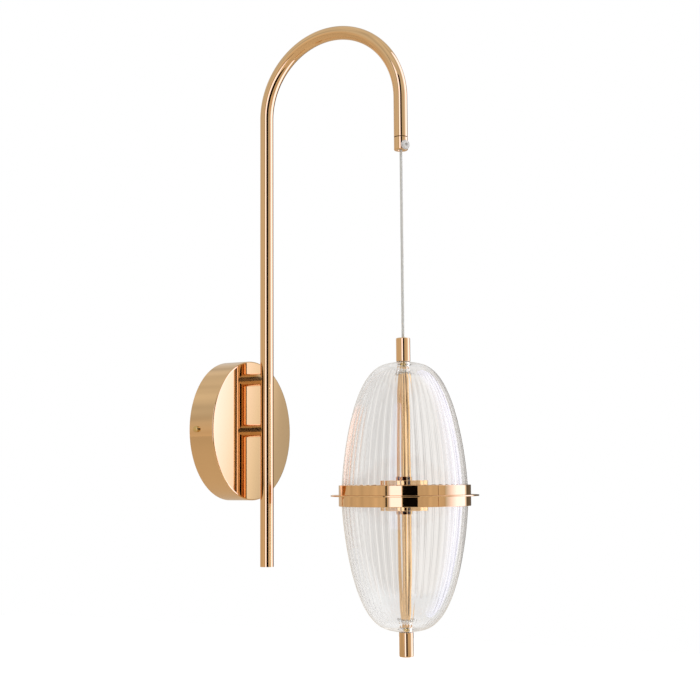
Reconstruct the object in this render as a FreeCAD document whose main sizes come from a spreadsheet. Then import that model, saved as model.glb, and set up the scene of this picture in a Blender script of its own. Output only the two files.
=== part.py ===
import FreeCAD, Part
import math
import os

import Sketcher
from FreeCAD import Placement, Rotation, Vector

# Wall sconce with a gooseneck arm and a hanging two-part glass shade, in millimetres.
# +Z is up, the wall is the plane Y = 0 and the lamp stands off it towards -Y.
# The origin is the centre of the canopy's back, on the wall.

SIZES = {
    # Canopy cup on the wall
    "canopy_diameter": 125,
    "canopy_depth": 25,
    "canopy_wall": 1,
    "canopy_edge_round": 2.5,
    # Wall bracket inside the cup
    "bracket_width": 26,
    "bracket_thickness": 2,
    "bracket_cup_gap": 0.4,
    "bracket_hole_diameter": 16,
    "wall_slot_spacing": 84,
    "wall_slot_width": 5,
    "wall_slot_length": 12,
    "tab_width": 14,
    "tab_reach": 14,
    "side_screw_setback": 8,
    "side_screw_diameter": 4,
    "side_screw_length": 6,
    "side_screw_head_diameter": 5.4,
    "side_screw_head_height": 3,
    "side_screw_head_round": 1.4,
    # Supply parts in the cup
    "terminal_length": 22,
    "terminal_height": 16,
    "terminal_thickness": 12,
    "terminal_offset": 22,
    "terminal_hole_diameter": 3.2,
    "terminal_hole_depth": 5,
    "terminal_pitch": 10,
    "earth_screw_offset": 22,
    "earth_screw_diameter": 4,
    "earth_screw_length": 1.8,
    "earth_head_diameter": 8,
    "earth_head_height": 2.6,
    "earth_drive_width": 1.2,
    "earth_drive_depth": 1.2,
    "driver_length": 60,
    "driver_height": 28,
    "driver_thickness": 18,
    "driver_wall_gap": 3,
    "driver_edge_round": 1.5,
    "driver_pad_thickness": 0.8,
    "driver_pad_margin": 4,
    "supply_wire_diameter": 1.8,
    # Arm tube: rod, half-circle and outer leg
    "tube_diameter": 12,
    "tube_wall": 1.2,
    "rod_gap": 8.5,
    "rod_drop": 121,
    "spring_height": 285,
    "arc_radius": 69,
    "outer_leg": 34.5,
    "plug_length": 3,
    # Studs between cup and rod
    "stud_diameter": 11.6,
    "stud_bore": 5,
    "stud_thread_diameter": 10,
    "stud_thread_length": 9,
    "washer_diameter": 18,
    "washer_thickness": 1,
    "washer_wall_gap": 6.5,
    "nut_flats": 14,
    "nut_height": 5,
    # Cap at the arm's end, with its grip screw
    "cap_length": 12.5,
    "cap_edge_round": 0.8,
    "cap_spigot_length": 8,
    "cap_throat_diameter": 4.8,
    "cap_throat_height": 1.2,
    "cap_mouth_diameter": 5.8,
    "cap_mouth_depth": 0.7,
    "grip_angle": 30,
    "grip_height": 3.5,
    "grip_thread_diameter": 4,
    "grip_head_diameter": 8.2,
    "grip_head_thickness": 1.5,
    "grip_face_diameter": 6.2,
    "grip_face_height": 0.8,
    "grip_socket_flats": 2.6,
    "grip_socket_depth": 1.7,
    "grip_notch_count": 14,
    "grip_notch_diameter": 1,
    # Cord, its bead in the cap and its anchor in the finial
    "cord_diameter": 2.4,
    "bead_diameter": 5.6,
    "bead_height": 3.2,
    "bead_gap": 0.3,
    "anchor_diameter": 6.4,
    "anchor_length": 4.2,
    "lead_setback": 9.5,
    "lead_side_reach": 11,
    "lead_corner_reach": 26,
    "lead_corner_height": 22,
    "lead_cup_radius": 6,
    "lead_rod_radius": 5,
    "lead_hub_radius": 3,
    # Shade: plate, bands, glass and finials on one vertical axis
    "plate_drop": 58,
    "plate_diameter": 124.6,
    "plate_thickness": 1.2,
    "band_diameter": 111,
    "band_height": 17.5,
    "band_wall": 2,
    "band_seam_width": 0.4,
    "band_seam_angle": 34,
    "glass_diameter": 106.4,
    "glass_height": 112.5,
    "glass_wall": 3.6,
    "glass_pole_wall": 8,
    "glass_ceiling_diameter": 34,
    "glass_side_power": 3.12,
    "glass_height_power": 1.566,
    "flute_count": 48,
    "flute_depth": 0.3,
    "rim_gasket_thickness": 1,
    "finial_diameter": 12,
    "finial_length": 20,
    "finial_edge_round": 0.8,
    "finial_thread_depth": 12,
    "finial_gasket_thickness": 0.5,
    "centre_rod_diameter": 8,
    "centre_rod_bore": 5,
    "centre_rod_engagement": 10,
    "sleeve_diameter": 10,
    "inner_washer_diameter": 16,
    "inner_washer_thickness": 1,
    "locknut_flats": 12,
    "locknut_height": 3,
    # Hub with its two light boards
    "hub_diameter": 40,
    "hub_height": 12.5,
    "hub_floor": 2,
    "hub_wall": 1,
    "hub_ledge": 0.6,
    "hub_boss_diameter": 12.8,
    "hub_cavity_diameter": 32,
    "hub_cavity_depth": 4,
    "board_thickness": 1.6,
    "chip_size": 2.8,
    "chip_height": 0.7,
    "chip_count": 12,
    "chip_ring_diameter": 27,
    "diffuser_thickness": 2,
    "diffuser_inset": 0.5,
    "hub_screw_circle": 24,
    "hub_screw_count": 3,
    "hub_screw_diameter": 3,
    "hub_screw_head_diameter": 5,
    "hub_screw_head_height": 1.6,
    "jumper_circle": 28,
    "jumper_angle": 12,
    "jumper_diameter": 1.4,
    # Fits shared by many pieces
    "thread_clearance": 0.05,
    "slip_clearance": 0.15,
    "hole_clearance": 0.3,
    "swivel_gap": 0.3,
    "overrun": 2,
}

doc = FreeCAD.newDocument("wall_sconce")
sheet = doc.addObject("Spreadsheet::Sheet", "size")
for row, (alias, number) in enumerate(SIZES.items(), start=1):
    sheet.set(f"A{row}", alias)
    sheet.set(f"B{row}", str(number))
    sheet.setAlias(f"B{row}", alias)
doc.recompute()

# Places that many pieces share, as expressions on the sheet
ROD_Y = "-(size.canopy_depth + size.rod_gap + size.tube_diameter / 2)"
SHADE_Y = f"({ROD_Y} - 2 * size.arc_radius)"
CAP_TOP = "(size.spring_height - size.outer_leg)"
CAP_BOTTOM = f"({CAP_TOP} - size.cap_length)"
PIVOT_Z = f"({CAP_BOTTOM} + size.bead_height)"
TUBE_BORE = "(size.tube_diameter - 2 * size.tube_wall)"
BEAD_BORE = "(size.bead_diameter + 2 * size.bead_gap)"
CUP_FACE_Y = "-(size.canopy_depth - size.canopy_wall)"
CUP_BORE = "(size.canopy_diameter / 2 - size.canopy_wall)"
STUD_Z = f"({CUP_BORE} - size.washer_wall_gap - size.washer_diameter / 2)"
DRIVER_REACH = f"(sqrt({CUP_BORE} ^ 2 - (size.driver_length / 2) ^ 2) - size.driver_wall_gap)"
DRIVER_Z = f"-({DRIVER_REACH} - size.driver_height / 2)"
PLATE_HALF = "(size.plate_thickness / 2)"
GLASS_FOOT = f"({PLATE_HALF} + size.rim_gasket_thickness)"
GLASS_CEILING = "(size.glass_height - size.glass_pole_wall)"
FINIAL_FOOT = "(size.glass_height + size.finial_gasket_thickness)"
POCKET_TOP = "(size.finial_thread_depth + size.anchor_length + 2 * size.swivel_gap)"
ANCHOR_FOOT = f"({FINIAL_FOOT} + size.finial_thread_depth + size.swivel_gap)"
SHADE_Z = "-size.plate_drop"
OVAL_STEPS = 8
VOID_SHARES = (0, 0.16, 0.34, 0.52, 0.68, 0.81, 0.91, 1)
TERMINAL_Y = "-(size.bracket_thickness + size.terminal_thickness / 2)"
HUB_FLOOR_TOP = f"({PLATE_HALF} + size.hub_floor)"
BOARD_SEAT = f"({HUB_FLOOR_TOP} + size.hub_cavity_depth)"
DIFFUSER_SEAT = "(size.hub_height - size.diffuser_inset - size.diffuser_thickness)"
DIFFUSER_BORE = "(size.hub_diameter / 2 - size.hub_wall)"
BOARD_BORE = f"({DIFFUSER_BORE} - size.hub_ledge)"
ROD_HOLE = "(size.centre_rod_diameter / 2 + size.slip_clearance)"
WIRE_LEVEL = f"({HUB_FLOOR_TOP} + size.hub_cavity_depth / 2)"

X_AXIS, Y_AXIS, Z_AXIS = Vector(1, 0, 0), Vector(0, 1, 0), Vector(0, 0, 1)

subparts = []


def near(first, second):
    """Whether two lengths agree within the model's tolerance."""
    return math.isclose(first, second, abs_tol=Part.Precision.approximation())


def value(expression):
    """The number that an expression on the sheet gives now."""
    return float(sheet.evalExpression(expression))


def keep(thing):
    """Adds a finished object to the list of sub-parts."""
    subparts.append(thing)
    return thing


def place(thing, x="0", y="0", z="0", axis=Z_AXIS, angle=0.0):
    """Binds an object's place to the sheet and turns it about an axis."""
    thing.Placement = Placement(Vector(), Rotation(axis, angle))
    for letter, expression in zip("xyz", (x, y, z)):
        thing.setExpression(f"Placement.Base.{letter}", expression)
    return thing


# Part primitives and booleans

def box(name, length, width, height, x="0", y="0", z="0"):
    """A box of the given sizes whose middle in X and Z, and rear face in Y, are at the place."""
    block = doc.addObject("Part::Box", name)
    for size_name, expression in zip(("Length", "Width", "Height"), (length, width, height)):
        block.setExpression(size_name, expression)
    return place(block, f"{x} - ({length}) / 2", f"{y} - ({width})", f"{z} - ({height}) / 2")


def cylinder(name, diameter, height, x="0", y="0", z="0", axis=Z_AXIS, angle=0.0):
    """A cylinder that rises along its own Z from its place."""
    drum = doc.addObject("Part::Cylinder", name)
    drum.setExpression("Radius", f"({diameter}) / 2")
    drum.setExpression("Height", height)
    return place(drum, x, y, z, axis, angle)


def prism(name, flats, height, x="0", y="0", z="0", axis=Z_AXIS, angle=0.0):
    """A hexagonal prism with the given width across its flats."""
    hexagon = doc.addObject("Part::Prism", name)
    hexagon.Polygon = 6
    hexagon.setExpression("Circumradius", f"({flats}) / 2 / cos(30 deg)")
    hexagon.setExpression("Height", height)
    return place(hexagon, x, y, z, axis, angle)


def fuse(label, pieces):
    """One solid, or a group of separate solids, from several."""
    joined = doc.addObject("Part::MultiFuse", label)
    joined.Shapes = pieces
    joined.Refine = False
    return joined


def group(label, pieces):
    """Separate solids kept together as one sub-part."""
    together = doc.addObject("Part::Compound", label)
    together.Links = pieces
    return together


def cut(label, base, tool):
    """The base less the tool."""
    result = doc.addObject("Part::Cut", label)
    result.Base = base
    result.Tool = tool
    return result


# PartDesign bodies and sketches

def new_body(label, y="0", z="0", axis=X_AXIS, angle=0.0):
    """An empty body at its place."""
    body = doc.addObject("PartDesign::Body", label)
    return place(body, "0", y, z, axis, angle)


def origin_plane(body, role):
    """The body's own origin plane with the given role."""
    return next(f for f in body.Origin.OriginFeatures if f.Role == role)


def new_sketch(body, name, role, offset="0"):
    """A sketch on an origin plane of its own body, lifted along the plane's normal."""
    sketch = body.newObject("Sketcher::SketchObject", name)
    sketch.AttachmentSupport = [(origin_plane(body, role), "")]
    sketch.MapMode = "FlatFace"
    sketch.setExpression("AttachmentOffset.Base.z", offset)
    return sketch


def pin_point(sketch, edge, end, u, v):
    """Holds one end of a sketch edge at coordinates bound to the sheet."""
    for kind, axis_line, expression in (("DistanceX", -2, u), ("DistanceY", -1, v)):
        if expression == "0":
            sketch.addConstraint(Sketcher.Constraint("PointOnObject", edge, end, axis_line))
            continue
        datum = Sketcher.Constraint(kind, -1, 1, edge, end, value(expression))
        index = sketch.addConstraint(datum)
        sketch.setExpression(f"Constraints[{index}]", expression)


def outline(sketch, corners):
    """A closed outline of straight edges through corners given as pairs of expressions."""
    spots = [Vector(value(u), value(v), 0) for u, v in corners]
    first = sketch.GeometryCount
    for start, stop in zip(spots, spots[1:] + spots[:1]):
        sketch.addGeometry(Part.LineSegment(start, stop), False)
    count = len(corners)
    for index, (u, v) in enumerate(corners):
        before = first + (index - 1) % count
        sketch.addConstraint(Sketcher.Constraint("Coincident", before, 2, first + index, 1))
        pin_point(sketch, first + index, 1, u, v)
    return sketch


def circle(sketch, diameter, u="0", v="0"):
    """A circle whose centre and diameter are bound to the sheet."""
    centre = Vector(value(u), value(v), 0)
    ring = Part.Circle(centre, Vector(0, 0, 1), value(diameter) / 2)
    index = sketch.addGeometry(ring, False)
    pin_point(sketch, index, 3, u, v)
    datum = sketch.addConstraint(Sketcher.Constraint("Diameter", index, value(diameter)))
    sketch.setExpression(f"Constraints[{datum}]", diameter)
    return sketch


def turn(body, corners, role="XZ_Plane"):
    """Turns an outline of radius and height about the sketch's upright axis."""
    sketch = outline(new_sketch(body, f"{body.Label}_profile", role), corners)
    turned = body.newObject("PartDesign::Revolution", f"{body.Label}_turning")
    turned.Profile = sketch
    turned.ReferenceAxis = (sketch, ["V_Axis"])
    turned.Angle = 360
    sketch.Visibility = False
    doc.recompute()
    return turned


def pocket(body, sketch, depth, reverse=False, midplane=False):
    """Cuts a sketch into the body to a depth bound to the sheet."""
    hole = body.newObject("PartDesign::Pocket", f"{sketch.Label}_pocket")
    hole.Profile = sketch
    hole.setExpression("Length", depth)
    hole.Reversed = reverse
    hole.SideType = "Symmetric" if midplane else "One side"
    doc.recompute()
    return hole


def pad(body, sketch, length, reverse=False):
    """Raises a sketch on the body to a height bound to the sheet."""
    boss = body.newObject("PartDesign::Pad", f"{sketch.Label}_pad")
    boss.Profile = sketch
    boss.setExpression("Length", length)
    boss.Reversed = reverse
    doc.recompute()
    return boss


def around(body, feature, count):
    """Repeats a feature round the body's upright axis."""
    ring = body.newObject("PartDesign::PolarPattern", f"{feature.Label}_ring")
    ring.Originals = [feature]
    ring.Axis = (next(f for f in body.Origin.OriginFeatures if f.Role == "Z_Axis"), [""])
    ring.Angle = 360
    ring.setExpression("Occurrences", count)
    body.Tip = ring
    doc.recompute()
    return ring


def round_edges(body, radius, wanted):
    """Rounds the circular edges of the body that the test picks by radius and centre."""
    base = body.Tip
    names = []
    for index, edge in enumerate(base.Shape.Edges, start=1):
        if isinstance(edge.Curve, Part.Circle) and wanted(edge.Curve.Radius, edge.Curve.Center):
            names.append(f"Edge{index}")
    fillet = body.newObject("PartDesign::Fillet", f"{body.Label}_round")
    fillet.Base = (base, names)
    fillet.setExpression("Radius", radius)
    doc.recompute()
    return fillet


# Pieces fixed to the wall

def canopy_cup():
    """Pressed cup, open towards the wall, with holes for the studs and the side screws."""
    radius = "size.canopy_diameter / 2"
    body = new_body("canopy_cup")
    turn(body, [
        ("0", "-size.canopy_depth"), (radius, "-size.canopy_depth"), (radius, "0"),
        (CUP_BORE, "0"), (CUP_BORE, CUP_FACE_Y), ("0", CUP_FACE_Y),
    ], "XY_Plane")
    depth, wall = value("size.canopy_depth"), value("size.canopy_wall")
    round_edges(body, "size.canopy_edge_round", lambda r, c: near(c.y, -depth))
    round_edges(body, "size.canopy_edge_round - size.canopy_wall",
                lambda r, c: near(c.y, wall - depth) and near(r, value(CUP_BORE)))
    studs = new_sketch(body, "stud_holes", "XZ_Plane")
    for height in ("0", STUD_Z):
        circle(studs, "size.stud_thread_diameter + 2 * size.slip_clearance", "0", height)
    pocket(body, studs, "size.canopy_depth + size.overrun", reverse=True)
    sides = new_sketch(body, "side_holes", "YZ_Plane")
    circle(sides, "size.side_screw_diameter + 2 * size.slip_clearance", "-size.side_screw_setback")
    pocket(body, sides, "size.canopy_diameter + size.overrun", midplane=True)
    return keep(body)


def wall_bracket():
    """Steel strap on the wall with slots, a cable hole and a tapped tab at each end."""
    reach = f"({CUP_BORE} - size.bracket_cup_gap)"
    strap_half = f"sqrt({reach} ^ 2 - (size.bracket_width / 2) ^ 2)"
    tab_end = f"sqrt({reach} ^ 2 - (size.tab_width / 2) ^ 2)"
    thick = "size.bracket_thickness"
    pieces = [box("strap", f"2 * {strap_half}", thick, "size.bracket_width")]
    through = f"{thick} + 2 * size.overrun"
    tools = [cylinder("cable_hole", "size.bracket_hole_diameter", through,
                      y="size.overrun", axis=X_AXIS, angle=90)]
    for name, sign in (("left", "-"), ("right", "")):
        pieces.append(box(f"{name}_tab", thick, "size.tab_reach", "size.tab_width",
                          x=f"{sign}({tab_end} - {thick} / 2)"))
        centre = f"{sign}size.wall_slot_spacing / 2"
        straight = "(size.wall_slot_length - size.wall_slot_width)"
        tools.append(box(f"{name}_slot", straight, through, "size.wall_slot_width",
                         x=centre, y="size.overrun"))
        for end in ("-", "+"):
            tools.append(cylinder(f"{name}_slot_end", "size.wall_slot_width", through,
                                  x=f"{centre} {end} {straight} / 2", y="size.overrun",
                                  axis=X_AXIS, angle=90))
    tools.append(cylinder("tab_holes", "size.side_screw_diameter + 2 * size.thread_clearance",
                          "size.canopy_diameter", x="-size.canopy_diameter / 2",
                          y="-size.side_screw_setback", axis=Y_AXIS, angle=90))
    tools.append(cylinder("earth_hole", "size.earth_screw_diameter + 2 * size.thread_clearance",
                          through, x="size.earth_screw_offset", y="size.overrun",
                          axis=X_AXIS, angle=90))
    return keep(cut("wall_bracket", fuse("bracket_blank", pieces), fuse("bracket_holes", tools)))


def canopy_side_screws():
    """Two small domed brass screws that hold the cup to the bracket's tabs."""
    screws = []
    for name, sign, angle in (("left", "-", -90), ("right", "", 90)):
        body = new_body(f"{name}_side_screw", "-size.side_screw_setback", "0", Y_AXIS, angle)
        body.setExpression("Placement.Base.x", f"{sign}size.canopy_diameter / 2")
        shank, head = "size.side_screw_diameter / 2", "size.side_screw_head_diameter / 2"
        turn(body, [
            ("0", "-size.side_screw_length"), (shank, "-size.side_screw_length"), (shank, "0"),
            (head, "0"), (head, "size.side_screw_head_height"),
            ("0", "size.side_screw_head_height"),
        ])
        top = value("size.side_screw_head_height")
        round_edges(body, "size.side_screw_head_round", lambda r, c: near(c.z, top))
        screws.append(body)
    return keep(group("canopy_side_screws", screws))


def terminal_block():
    """Two-pole terminal block on the bracket, open for wires above and below."""
    blank = box("terminal_body", "size.terminal_length", "size.terminal_thickness",
                "size.terminal_height", x="-size.terminal_offset", y="-size.bracket_thickness")
    holes = []
    for side in ("-", "+"):
        for foot in ("-size.terminal_height / 2 - size.overrun",
                     "size.terminal_height / 2 - size.terminal_hole_depth"):
            holes.append(cylinder("wire_hole", "size.terminal_hole_diameter",
                                  "size.terminal_hole_depth + size.overrun",
                                  x=f"-size.terminal_offset {side} size.terminal_pitch / 2",
                                  y=TERMINAL_Y, z=foot))
    return keep(cut("terminal_block", blank, fuse("wire_holes", holes)))


def earth_screw():
    """Slotted earth screw in the bracket."""
    body = new_body("earth_screw")
    body.setExpression("Placement.Base.x", "size.earth_screw_offset")
    shank, head = "size.earth_screw_diameter / 2", "size.earth_head_diameter / 2"
    seat = "-size.bracket_thickness"
    top = f"{seat} - size.earth_head_height"
    turn(body, [
        ("0", f"{seat} + size.earth_screw_length"), (shank, f"{seat} + size.earth_screw_length"),
        (shank, seat), (head, seat), (head, top), ("0", top),
    ], "XY_Plane")
    groove = new_sketch(body, "drive_slot", "XY_Plane")
    half = "size.earth_drive_width / 2"
    floor = f"{top} + size.earth_drive_depth"
    above = f"{top} - size.overrun"
    outline(groove, [(f"-{half}", floor), (half, floor), (half, above), (f"-{half}", above)])
    pocket(body, groove, "size.earth_head_diameter + size.overrun", midplane=True)
    return keep(body)


def led_driver():
    """Encapsulated driver on an adhesive pad behind the cup's face."""
    seat = f"{CUP_FACE_Y} + size.driver_pad_thickness"
    blank = box("driver_blank", "size.driver_length", "size.driver_thickness",
                "size.driver_height", y=f"{seat} + size.driver_thickness", z=DRIVER_Z)
    doc.recompute()
    case = doc.addObject("Part::Fillet", "led_driver")
    case.Base = blank
    radius = value("size.driver_edge_round")
    case.Edges = [(number, radius, radius) for number in range(1, len(blank.Shape.Edges) + 1)]
    keep(case)
    margin = "2 * size.driver_pad_margin"
    keep(box("driver_pad", f"size.driver_length - {margin}", "size.driver_pad_thickness",
             f"size.driver_height - {margin}", y=seat, z=DRIVER_Z))


def driver_input_leads():
    """Two straight wires from the terminal block down into the driver's top."""
    top = "-size.terminal_height / 2 + size.terminal_hole_depth"
    foot = f"{DRIVER_Z} + size.driver_height / 2"
    wires = [cylinder("supply_wire", "size.supply_wire_diameter", f"{top} - ({foot})",
                      x=f"-size.terminal_offset {side} size.terminal_pitch / 2",
                      y=TERMINAL_Y, z=foot) for side in ("-", "+")]
    return keep(group("driver_input_leads", wires))


def stud(label, height):
    """Hollow stud with a saddle end on the rod and a thread through the cup's face."""
    body = new_body(label, z=height)
    bore, thread, shank = ("size.stud_bore / 2", "size.stud_thread_diameter / 2",
                           "size.stud_diameter / 2")
    inner = "-size.canopy_depth + size.stud_thread_length"
    face = "-size.canopy_depth"
    turn(body, [
        (bore, inner), (thread, inner), (thread, face), (shank, face), (shank, ROD_Y),
        (bore, ROD_Y),
    ], "XY_Plane")
    saddle = circle(new_sketch(body, "saddle", "XY_Plane"), "size.tube_diameter", "0", ROD_Y)
    pocket(body, saddle, "size.stud_diameter + size.overrun", midplane=True)
    return keep(body)


def stud_fixings():
    """A washer and a nut on each stud inside the cup."""
    washers, nuts = [], []
    hole = "size.stud_thread_diameter + 2 * size.thread_clearance"
    seat = f"{CUP_FACE_Y} + size.washer_thickness"
    for height in ("0", STUD_Z):
        ring = cylinder("washer_blank", "size.washer_diameter", "size.washer_thickness",
                        y=CUP_FACE_Y, z=height, axis=X_AXIS, angle=-90)
        bore = cylinder("washer_bore", hole, "size.washer_thickness + 2 * size.overrun",
                        y=f"{CUP_FACE_Y} - size.overrun", z=height, axis=X_AXIS, angle=-90)
        washers.append(cut("washer", ring, bore))
        hexagon = prism("nut_blank", "size.nut_flats", "size.nut_height",
                        y=seat, z=height, axis=X_AXIS, angle=-90)
        thread = cylinder("nut_bore", hole, "size.nut_height + 2 * size.overrun",
                          y=f"{seat} - size.overrun", z=height, axis=X_AXIS, angle=-90)
        nuts.append(cut("nut", hexagon, thread))
    keep(group("stud_washers", washers))
    keep(group("stud_nuts", nuts))


def arm_tube():
    """One bent tube: rod, half circle over the top and short outer leg."""
    body = new_body("arm_tube")
    section = new_sketch(body, "tube_section", "XY_Plane", "-size.rod_drop")
    circle(section, "size.tube_diameter", "0", ROD_Y)
    circle(section, TUBE_BORE, "0", ROD_Y)
    path = new_sketch(body, "tube_path", "YZ_Plane")
    rod_y, shade_y, spring = value(ROD_Y), value(SHADE_Y), value("size.spring_height")
    foot, top = Vector(rod_y, -value("size.rod_drop"), 0), Vector(rod_y, spring, 0)
    over, end = Vector(shade_y, spring, 0), Vector(shade_y, value(CAP_TOP), 0)
    path.addGeometry(Part.LineSegment(foot, top), False)
    bend = Part.Circle((top + over) / 2, Vector(0, 0, 1), value("size.arc_radius"))
    path.addGeometry(Part.ArcOfCircle(bend, 0, math.pi), False)
    path.addGeometry(Part.LineSegment(over, end), False)
    pin_point(path, 0, 1, ROD_Y, "-size.rod_drop")
    pin_point(path, 0, 2, ROD_Y, "size.spring_height")
    path.addConstraint(Sketcher.Constraint("Coincident", 0, 2, 1, 1))
    path.addConstraint(Sketcher.Constraint("Coincident", 1, 2, 2, 1))
    pin_point(path, 2, 1, SHADE_Y, "size.spring_height")
    pin_point(path, 2, 2, SHADE_Y, CAP_TOP)
    level = path.addConstraint(Sketcher.Constraint("DistanceY", -1, 1, 1, 3, spring))
    path.setExpression(f"Constraints[{level}]", "size.spring_height")
    pipe = body.newObject("PartDesign::AdditivePipe", "tube_sweep")
    pipe.Profile = section
    pipe.Spine = path
    doc.recompute()
    lead_hole = new_sketch(body, "lead_hole", "XZ_Plane", f"-({ROD_Y})")
    circle(lead_hole, "size.stud_bore", "0", STUD_Z)
    pocket(body, lead_hole, "size.tube_diameter")
    keep(body)
    keep(cylinder("rod_end_plug", f"{TUBE_BORE} - 2 * size.thread_clearance",
                  "size.plug_length", y=ROD_Y, z="-size.rod_drop"))


def arm_end_cap():
    """Turned cap with a spigot in the tube, a seat for the cord's bead and a grip screw hole."""
    body = new_body("arm_end_cap", SHADE_Y, CAP_BOTTOM, Z_AXIS, -value("size.grip_angle"))
    outer, mouth = "size.tube_diameter / 2", "size.cap_mouth_diameter / 2"
    throat, bore = "size.cap_throat_diameter / 2", f"{BEAD_BORE} / 2"
    spigot = f"{TUBE_BORE} / 2 - size.thread_clearance"
    top = "size.cap_length + size.cap_spigot_length"
    turn(body, [
        (mouth, "0"), (outer, "0"), (outer, "size.cap_length"), (spigot, "size.cap_length"),
        (spigot, top), (bore, top), (bore, "size.cap_throat_height"),
        (throat, "size.cap_throat_height"), (throat, "size.cap_mouth_depth"),
    ])
    round_edges(body, "size.cap_edge_round",
                lambda r, c: near(c.z, 0) and near(r, value(outer)))
    screw_hole = new_sketch(body, "grip_hole", "XZ_Plane")
    circle(screw_hole, "size.grip_thread_diameter + 2 * size.thread_clearance", "0",
           "size.grip_height")
    pocket(body, screw_hole, "size.tube_diameter", reverse=True)
    return keep(body)


def grip_screw():
    """Clear knurled screw in the cap's side, with a raised face and a hexagon socket."""
    turned_out = Rotation(Z_AXIS, -value("size.grip_angle")).multiply(Rotation(X_AXIS, 90))
    body = new_body("grip_screw", SHADE_Y, f"{CAP_BOTTOM} + size.grip_height",
                    turned_out.Axis, math.degrees(turned_out.Angle))
    start = f"{BEAD_BORE} / 2 + size.thread_clearance"
    back = "(size.tube_diameter / 2 + size.swivel_gap)"
    front = f"({back} + size.grip_head_thickness)"
    face = f"({front} + size.grip_face_height)"
    shank, head, disc = ("size.grip_thread_diameter / 2", "size.grip_head_diameter / 2",
                         "size.grip_face_diameter / 2")
    turn(body, [
        ("0", start), (shank, start), (shank, back), (head, back), (head, front),
        (disc, front), (disc, face), ("0", face),
    ])
    socket = new_sketch(body, "socket", "XY_Plane", face)
    corner = "size.grip_socket_flats / 2 / cos(30 deg)"
    outline(socket, [(f"{corner} * cos({60 * step} deg)", f"{corner} * sin({60 * step} deg)")
                     for step in range(6)])
    pocket(body, socket, "size.grip_socket_depth")
    notch = circle(new_sketch(body, "notch", "XY_Plane", front), "size.grip_notch_diameter", head)
    around(body, pocket(body, notch, "size.grip_head_thickness"), "size.grip_notch_count")
    return keep(body)


# Cord, bead and anchor, and the leads held inside

def rounded_route(points, radii):
    """Straight runs through points, joined at each inner point by a tangent arc."""
    edges, start = [], points[0]
    for before, corner, after, radius in zip(points, points[1:], points[2:], radii):
        inward = (before - corner).normalize()
        outward = (after - corner).normalize()
        half_turn = (math.pi - inward.getAngle(outward)) / 2
        setback = radius * math.tan(half_turn)
        first, last = corner + inward * setback, corner + outward * setback
        middle_way = (inward + outward).normalize()
        middle = corner + middle_way * (radius / math.cos(half_turn) - radius)
        edges += [Part.LineSegment(start, first).toShape(), Part.Arc(first, middle, last).toShape()]
        start = last
    edges.append(Part.LineSegment(start, points[-1]).toShape())
    return edges


def tube_along(label, edges, diameter):
    """A solid round wire along a route of joined edges."""
    route = Part.Wire(edges)
    start, direction = edges[0].valueAt(edges[0].FirstParameter), edges[0].tangentAt(0)
    ring = Part.Wire([Part.makeCircle(diameter / 2, start, direction)])
    thing = doc.addObject("Part::Feature", label)
    thing.Shape = route.makePipeShell([ring], True, False)
    expected = math.pi * diameter ** 2 / 4 * route.Length
    print(f"{label}: {thing.Shape.Volume:.1f} mm3, section times length {expected:.1f} mm3")
    return thing


def lead_in_arm():
    """Lead from the driver, up inside the cup, through the upper stud and over the arm."""
    level, rod_y, shade_y = -value("size.lead_setback"), value(ROD_Y), value(SHADE_Y)
    drop, rise = value(DRIVER_Z), value(STUD_Z)
    driver_end, spring = value("size.driver_length") / 2, value("size.spring_height")
    side = driver_end + value("size.lead_side_reach")
    corner = value("size.lead_corner_reach")
    cup, rod = value("size.lead_cup_radius"), value("size.lead_rod_radius")
    edges = rounded_route([
        Vector(driver_end, level, drop), Vector(side, level, drop),
        Vector(side, level, value("size.lead_corner_height")), Vector(corner, level, rise),
        Vector(0, level, rise), Vector(0, rod_y, rise), Vector(0, rod_y, spring),
    ], [cup, cup, cup, cup, rod])
    top = Vector(0, (rod_y + shade_y) / 2, spring + value("size.arc_radius"))
    over = Vector(0, shade_y, spring)
    end = Vector(0, shade_y, value(f"{PIVOT_Z} + size.bead_diameter / 2 + size.bead_gap"))
    edges.append(Part.Arc(Vector(0, rod_y, spring), top, over).toShape())
    edges.append(Part.LineSegment(over, end).toShape())
    return keep(tube_along("lead_in_arm", edges, value("size.cord_diameter")))


def hanging_cord():
    """Bead in the cap, straight cord below it and the crimped anchor on the cord's end."""
    bead = doc.addObject("Part::Sphere", "cord_bead")
    bead.setExpression("Radius", "size.bead_diameter / 2")
    keep(place(bead, y=SHADE_Y, z=PIVOT_Z))
    foot = f"{SHADE_Z} + {ANCHOR_FOOT}"
    top = f"{PIVOT_Z} - size.bead_diameter / 2 - size.bead_gap"
    keep(cylinder("cord", "size.cord_diameter", f"{top} - ({foot})", y=SHADE_Y, z=foot))
    crimp = cylinder("crimp", "size.anchor_diameter", "size.anchor_length", y=SHADE_Y, z=foot)
    bore = cylinder("crimp_bore", "size.cord_diameter + 2 * size.thread_clearance",
                    "size.anchor_length + 2 * size.overrun", y=SHADE_Y,
                    z=f"{foot} - size.overrun")
    keep(cut("cord_anchor", crimp, bore))


def inner_lead():
    """Lead down the bore of the centre rod and out under the upper light board."""
    head, level = value(f"{FINIAL_FOOT} + size.finial_thread_depth"), value(WIRE_LEVEL)
    screw_side = "(size.hub_screw_circle - size.hub_screw_head_diameter) / 2"
    reach = value(f"{screw_side} - size.hole_clearance")
    edges = rounded_route([Vector(0, 0, head), Vector(0, 0, level), Vector(reach, 0, level)],
                          [value("size.lead_hub_radius")])
    thing = tube_along("inner_lead", edges, value("size.cord_diameter"))
    return keep(place(thing, y=SHADE_Y, z=SHADE_Z))


# Shade, built upwards from the middle of the plate and turned over for the lower half

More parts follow.
